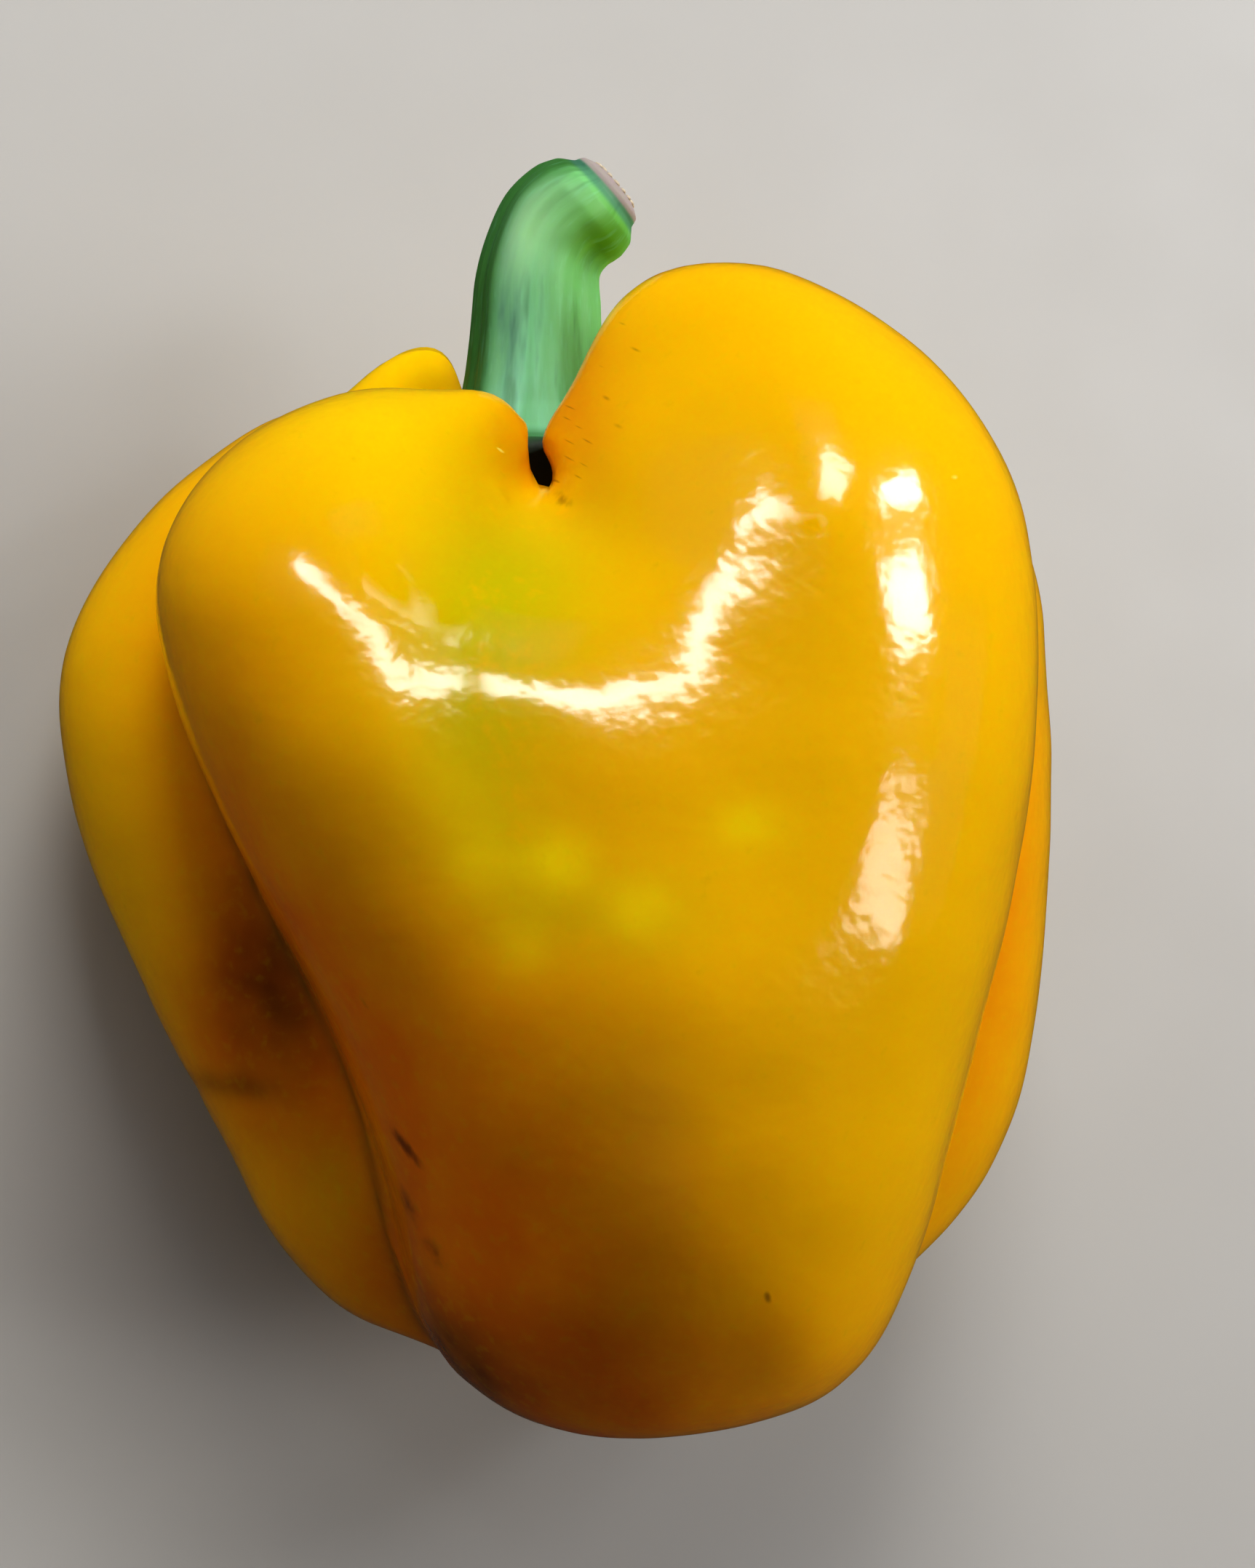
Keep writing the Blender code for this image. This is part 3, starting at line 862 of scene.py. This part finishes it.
# %% [markdown]
# ## Greens of the stem
# The shaft is a waxy blue-green, whose pale face is that bloom with a painted sheen on it, and turns fresh
# green on the sunny side. The tip carries painted light, and the shaded face is dark green painted shade.
# Painted shade also darkens the calyx, almost to black underneath, and the collar below the cut. The cut
# end is dry, pale and corky. Again the places are stored as numbers: the distance along the stem, soft
# patches round it, and where the cut begins.

# %% Numbers for the stem's material
CUT_START = 27.8
CUT_SOFTNESS = 0.25
# Each patch: its middle in degrees, reach in degrees, distance along the stem, length, strength
STEM_PATCHES = {
    # Pale face: waxy bloom with a painted sheen
    "bloom_and_sheen_face": ((102.0, 32.0, 5.0, 15.0, 1.0),),
    "slate": ((116.0, 12.0, 14.5, 4.5, 1.0), (124.0, 12.0, 20.5, 2.4, 0.9)),
    # Painted light on the tip
    "tip_light": ((110.0, 30.0, 21.5, 3.0, 1.0),),
    "knob": ((38.0, 50.0, 25.0, 3.2, 1.0),),
}
# The face painted with shade, in degrees: where it starts, is whole, is still whole, and ends
SHADED_FACE = (119.0, 139.0, 200.0, 240.0)
STREAK_RADIUS = 5.0
STREAK_STRETCH = 6.0

turned = np.degrees(turns) % 360.0


def stem_patch(turn, reach, distance, length):
    """Soft patch at a turn in degrees and a distance along the stem."""
    away = (turned - turn + 180.0) % 360.0 - 180.0
    return np.exp(-(away / reach) ** 2 - ((distances - distance) / length) ** 2)


store(stem_mesh, "distance", distances)
store(stem_mesh, "calyx", calyx_shares)
store(stem_mesh, "cut", eased((distances - CUT_START) / CUT_SOFTNESS))
store(stem_mesh, "shaded_face", plateau(turned, *SHADED_FACE))
for name, patches in STEM_PATCHES.items():
    store(stem_mesh, name, sum(strength * stem_patch(*patch) for *patch, strength in patches))
streak_place = [STREAK_RADIUS * np.cos(turns), STREAK_RADIUS * np.sin(turns), distances / STREAK_STRETCH]
store(stem_mesh, "streak", np.stack(streak_place, axis=1), "FLOAT_VECTOR")
stem_mesh.vertices.foreach_set("co", on_table(stem_points).ravel())
stem_mesh.update()
stem_mesh.shade_smooth()
stem = new_object("stem_and_calyx_skin", stem_mesh)
print("stored on the stem:", ", ".join(["distance", "calyx", "cut", "shaded_face", *STEM_PATCHES, "streak"]))

# %% The stem's material
FRESH_GREEN = rgb(0.18, 0.54, 0.17)
# Waxy blue-green, also a painted sheen on the pale face
SEA_GREEN_AND_SHEEN = rgb(0.29, 0.78, 0.49)
# Dark green of the streaks, also painted shade on the shaded face and the calyx
DARK_GREEN_AND_SHADE = rgb(0.02, 0.11, 0.012)
# Slate green, also painted shade on the collar below the cut
SLATE_GREEN_AND_SHADE = rgb(0.06, 0.20, 0.15)
# Painted light on the tip
TIP_LIT_GREEN = rgb(0.44, 0.90, 0.47)
KNOB_GREEN = rgb(0.11, 0.37, 0.001)
CUT_PALE = rgb(0.36, 0.31, 0.30)
# Painted shade under the calyx
UNDER_CALYX_SHADE = rgb(0.008, 0.016, 0.003)
STREAK_SCALE = 0.55
FINE_SCALE = 2.4
GRAIN = {"Strength": 0.4, "Distance": 0.00015}
STEM_FLESH = {"Specular IOR Level": 0.12, "Subsurface Weight": 0.15, "Subsurface Radius": (0.3, 0.9, 0.2),
              "Subsurface Scale": 0.001}


def stem_green():
    material, graph, shader = new_material("stem_green")
    streak = graph.named("streak", "Vector")
    streaks = graph.noise(streak, STREAK_SCALE, 3.0)
    fine = graph.noise(streak, FINE_SCALE, 3.0)
    distance = graph.named("distance")
    low = graph.between(distance, 13.0, 6.0)
    patchy = graph.between(streaks, 0.3, 0.65)
    # Pale face: waxy bloom with a painted sheen
    colour = graph.mix(graph.named("bloom_and_sheen_face") * (0.5 + 0.8 * patchy), FRESH_GREEN, SEA_GREEN_AND_SHEEN)
    colour = graph.mix(low * 0.25, colour, SLATE_GREEN_AND_SHADE)
    colour = graph.mix(graph.named("slate") * (0.3 + 0.8 * patchy), colour, SLATE_GREEN_AND_SHADE)
    colour = graph.mix(graph.between(streaks, 0.5, 0.68) * 0.45, colour, DARK_GREEN_AND_SHADE)
    # Painted light on the tip
    colour = graph.mix(graph.named("tip_light") * 0.8, colour, TIP_LIT_GREEN)
    # Painted shade on the shaded face
    colour = graph.mix(graph.named("shaded_face") * (0.72 + 0.25 * fine), colour, DARK_GREEN_AND_SHADE)
    colour = graph.mix(graph.named("knob") * 0.9, colour, KNOB_GREEN)
    colour = graph.mix(graph.between(fine, 0.5, 0.75) * 0.15, colour, SEA_GREEN_AND_SHEEN)
    # Painted shade on the collar below the cut
    colour = graph.mix(graph.between(distance, 26.9, 27.4) * 0.7, colour, SLATE_GREEN_AND_SHADE)
    # Painted shade on the calyx, almost black underneath
    colour = graph.mix(graph.between(graph.named("calyx"), 0.2, 0.7) * 0.7, colour, DARK_GREEN_AND_SHADE)
    colour = graph.mix(graph.between(graph.named("calyx"), 0.88, 0.99), colour, UNDER_CALYX_SHADE)
    colour = graph.mix(graph.named("cut"), colour, CUT_PALE)
    bump = graph.node("ShaderNodeBump", None, {**GRAIN, "Height": streaks * 0.5 + fine * 0.5})
    graph.fill(shader, {**STEM_FLESH, "Base Color": colour, "Normal": bump,
                        "Roughness": 0.5 + 0.1 * fine + 0.3 * graph.named("cut")})
    return material


stem_material = stem_green()
stem_mesh.materials.append(stem_material)
print("stem nodes:", len(stem_material.node_tree.nodes))

# %% [markdown]
# ## Fibres in the cut end
# A cut stem shows its plumbing: a ring of stiff fibre bundles round a soft middle. They repeat, so a small
# Geometry Nodes tree sets a flattened bead on every point of a circle. Realize Instances turns the beads
# into one real mesh, which is then moved onto the cut face.

# %% A ring of fibre ends
FIBRE_COUNT = 15
FIBRE_RING = 0.0020
FIBRE_PLACE = 28.78
FIBRE_RADIUS = 0.00034
FIBRE_SIZES = (0.75, 1.25)
FIBRE_FLATNESS = 0.5
FIBRE_DRAW = 4
BEAD_SEGMENTS = 12
BEAD_RINGS = 8
SPECKLE_SCALE = 2500.0


def fibre_tree(material):
    tree, graph, given, names = new_tree("fibre_ring", {
        "Fibres": "NodeSocketInt", "Ring Radius": "NodeSocketFloat", "Bead Radius": "NodeSocketFloat"})
    circle = graph.node("GeometryNodeMeshCircle", None, {
        "Vertices": given["Fibres"], "Radius": given["Ring Radius"]})
    bead = graph.node("GeometryNodeMeshUVSphere", None, {
        "Segments": BEAD_SEGMENTS, "Rings": BEAD_RINGS, "Radius": given["Bead Radius"]})
    wobble = graph.node("FunctionNodeRandomValue", {"data_type": "FLOAT"}, {
        2: FIBRE_SIZES[0], 3: FIBRE_SIZES[1], "Seed": FIBRE_DRAW}, 1)
    sizes = graph.node("ShaderNodeCombineXYZ", None, {"X": wobble, "Y": 1.0, "Z": FIBRE_FLATNESS})
    beads = graph.node("GeometryNodeInstanceOnPoints", None, {
        "Points": circle, "Instance": bead, "Scale": sizes})
    real = graph.node("GeometryNodeRealizeInstances", None, {"Geometry": beads})
    painted = graph.node("GeometryNodeSetMaterial", None, {"Geometry": real, "Material": material})
    graph.fill(tree.nodes.new("NodeGroupOutput"), {0: painted})
    return tree, names


def fibre_material():
    material, graph, shader = new_material("fibre_ends")
    speckle = graph.noise(graph.node("ShaderNodeTexCoord", output="Object"), SPECKLE_SCALE)
    graph.fill(shader, {"Base Color": graph.mix(speckle, rgb(0.42, 0.33, 0.22), rgb(0.66, 0.58, 0.44)),
                        "Roughness": 0.6 + 0.2 * speckle})
    return material


fibres = new_object("cut_face_fibres", bpy.data.meshes.new("cut_face_fibres"))
tree, names = fibre_tree(fibre_material())
fibre_mesh = run_tree(fibres, tree, {names["Fibres"]: FIBRE_COUNT, names["Ring Radius"]: FIBRE_RING,
                                     names["Bead Radius"]: FIBRE_RADIUS})
tip, tip_way = stem_line(FIBRE_PLACE)
tip_side = np.cross(tip_way, [0.0, 1.0, 0.0])
tip_side /= np.linalg.norm(tip_side)
tip_axes = np.stack([tip_side, np.cross(tip_way, tip_side), tip_way])
places, _ = mesh_arrays(fibre_mesh)
fibre_mesh.vertices.foreach_set("co", on_table(places / MM @ tip_axes + tip).ravel())
fibre_mesh.update()
fibre_mesh.shade_smooth()
print("fibre ends:", FIBRE_COUNT, "faces:", len(fibre_mesh.polygons))

# %% [markdown]
# ## Table and camera
# The table is plain and pale. The camera looks down on the pepper from the side that shows its two front
# lobes, along the growth frame's y, with a long lens so that the near lobes do not swell.

# %% The table
TABLE_HALF = 2.0
TABLE_DROP = 0.0002
TABLE_GRAIN_SCALE = 60.0


def table_top():
    material, graph, shader = new_material("pale_table")
    grain = graph.noise(graph.node("ShaderNodeTexCoord", output="Object"), TABLE_GRAIN_SCALE, 4.0)
    graph.fill(shader, {"Base Color": graph.mix(grain, rgb(0.34, 0.33, 0.315), rgb(0.37, 0.36, 0.345)),
                        "Roughness": 0.55 + 0.1 * grain})
    mesh = bpy.data.meshes.new("table_top")
    plane = bmesh.new()
    bmesh.ops.create_grid(plane, x_segments=1, y_segments=1, size=TABLE_HALF)
    plane.to_mesh(mesh)
    plane.free()
    mesh.materials.append(material)
    return new_object("table_top", mesh)


floor = table_top()
floor.location.z = -TABLE_DROP
floor.visible_glossy = False
print("table width in metres:", 2 * TABLE_HALF)

# %% The camera
VIEW_POINT = (6.29, -340.0, 6.29)
LENS = 97.3
SENSOR = 36.0
NEAREST_SEEN = 0.01


def standing(columns, place):
    """A matrix whose columns are the given directions, at the given place."""
    matrix = Matrix.Identity(4)
    for index, column in enumerate(list(columns) + [place]):
        for row in range(3):
            matrix[row][index] = column[row]
    return matrix


camera = bpy.data.objects.new("camera", bpy.data.cameras.new("camera"))
camera.data.sensor_width = SENSOR
camera.data.lens = LENS
camera.data.clip_start = NEAREST_SEEN
bpy.context.scene.collection.objects.link(camera)
bpy.context.scene.camera = camera
growth_x, growth_y, growth_z = AXES[:, 0], AXES[:, 1], AXES[:, 2]
camera.matrix_world = standing((growth_x, growth_z, -growth_y), on_table(VIEW_POINT))
print("camera at", on_table(VIEW_POINT).round(3))

# %% [markdown]
# ## Soft lights and bright panels
# A photographer lights a glossy thing twice: broad soft lights shape it, and small bright panels draw its
# highlights. In Cycles the two can be kept apart, with lamps that only light and lamps that only show in
# the gloss. Each direction is written as it is on a globe round the fruit: degrees to the right of the
# viewer, and degrees up towards the stem.

# %% Lights that shape the fruit
# Each soft light: degrees right, degrees up, power in watts, colour
SOFT_LIGHTS = {
    "window_above": (14.0, 60.0, 11.1, (1.0, 0.98, 0.94)),
    "window_right": (84.0, 0.0, 8.5, (1.0, 0.98, 0.94)),
    "fill_left": (-48.0, 36.0, 2.5, (1.0, 0.96, 0.9)),
    "fill_low": (5.0, -38.0, 0.7, (1.0, 0.95, 0.88)),
}
SOFT_SIZE = 0.5
SOFT_DISTANCE = 1.2
AIM = on_table((2.0, 0.0, 2.0))
SKY = (1.0, 0.95, 0.88)
SKY_STRENGTH = 0.03


def globe_way(right, up):
    """Direction in the world of a place on the globe round the fruit."""
    right, up = radians(right), radians(up)
    return AXES @ np.array([sin(right) * cos(up), -cos(right) * cos(up), sin(up)])


def new_light(name, way, distance, width, height, power, colour):
    lamp = bpy.data.lights.new(name, "AREA")
    lamp.shape = "RECTANGLE"
    lamp.size = width
    lamp.size_y = height
    lamp.energy = power
    lamp.color = colour
    thing = bpy.data.objects.new(name, lamp)
    bpy.context.scene.collection.objects.link(thing)
    thing.location = Vector(AIM) + distance * Vector(way)
    thing.rotation_euler = Vector(way).to_track_quat("Z", "Y").to_euler()
    thing.visible_camera = False
    return thing


for name, (right, up, power, colour) in SOFT_LIGHTS.items():
    light = new_light(name, globe_way(right, up), SOFT_DISTANCE, SOFT_SIZE, SOFT_SIZE, power, colour)
    light.visible_glossy = False
print("soft lights:", ", ".join(SOFT_LIGHTS))

# %% Panels that show in the gloss
# Each panel: degrees right and up at its two ends, width in degrees, brightness
PANELS = {
    "long_panel_left": ((-36.0, 42.0), (-8.0, 34.0), 6.5, 42.0),
    "long_panel_right": ((-8.0, 34.0), (15.0, 29.5), 7.0, 38.0),
    "pane_high": ((12.0, 50.0), (34.0, 42.0), 12.0, 32.0),
    "pane_top": ((53.0, 34.0), (76.0, 33.0), 9.0, 48.0),
    "pane_middle": ((46.0, 16.0), (66.0, 18.0), 9.0, 46.0),
    "pane_low": ((47.0, -4.0), (70.0, -13.0), 7.0, 18.0),
}
PANEL_DISTANCE = 0.8
PANEL_COLOUR = (0.97, 0.98, 1.0)
# Watts from each square metre of a panel of brightness 1
PANEL_POWER = 4.0

for name, (start, end, width, brightness) in PANELS.items():
    start, end = (PANEL_DISTANCE * globe_way(*corner) for corner in (start, end))
    middle = (start + end) / 2
    length = np.linalg.norm(end - start)
    across = 2.0 * PANEL_DISTANCE * np.tan(radians(width) / 2)
    power = PANEL_POWER * length * across * brightness
    facing = middle / np.linalg.norm(middle)
    light = new_light(name, facing, 1.0, length, across, power, PANEL_COLOUR)
    side = (end - start) - ((end - start) @ facing) * facing
    side /= np.linalg.norm(side)
    light.matrix_world = standing((side, np.cross(facing, side), facing), AIM + middle)
    light.visible_diffuse = False

world = bpy.data.worlds.new("sky")
world.use_nodes = True
sky = world.node_tree.nodes["Background"].inputs
sky["Color"].default_value = rgb(*SKY)
sky["Strength"].default_value = SKY_STRENGTH
bpy.context.scene.world = world
bpy.context.scene.view_settings.view_transform = "Standard"
bpy.context.scene.view_settings.look = "Medium High Contrast"
print("panels:", ", ".join(PANELS))

# %% [markdown]
# ## Joining the pieces to the measured model
# Each new piece rides on the model's only body, and the measured node that it replaces is hidden.

# %% Ride and replace
for piece, node, finish in ((fruit, "fruit_body", "pepper_skin"), (stem, "stem_and_calyx", "stem_green"),
                            (fibres, None, "stem_green")):
    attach(piece, "root")
    if node:
        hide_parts(node)

bpy.context.view_layer.update()
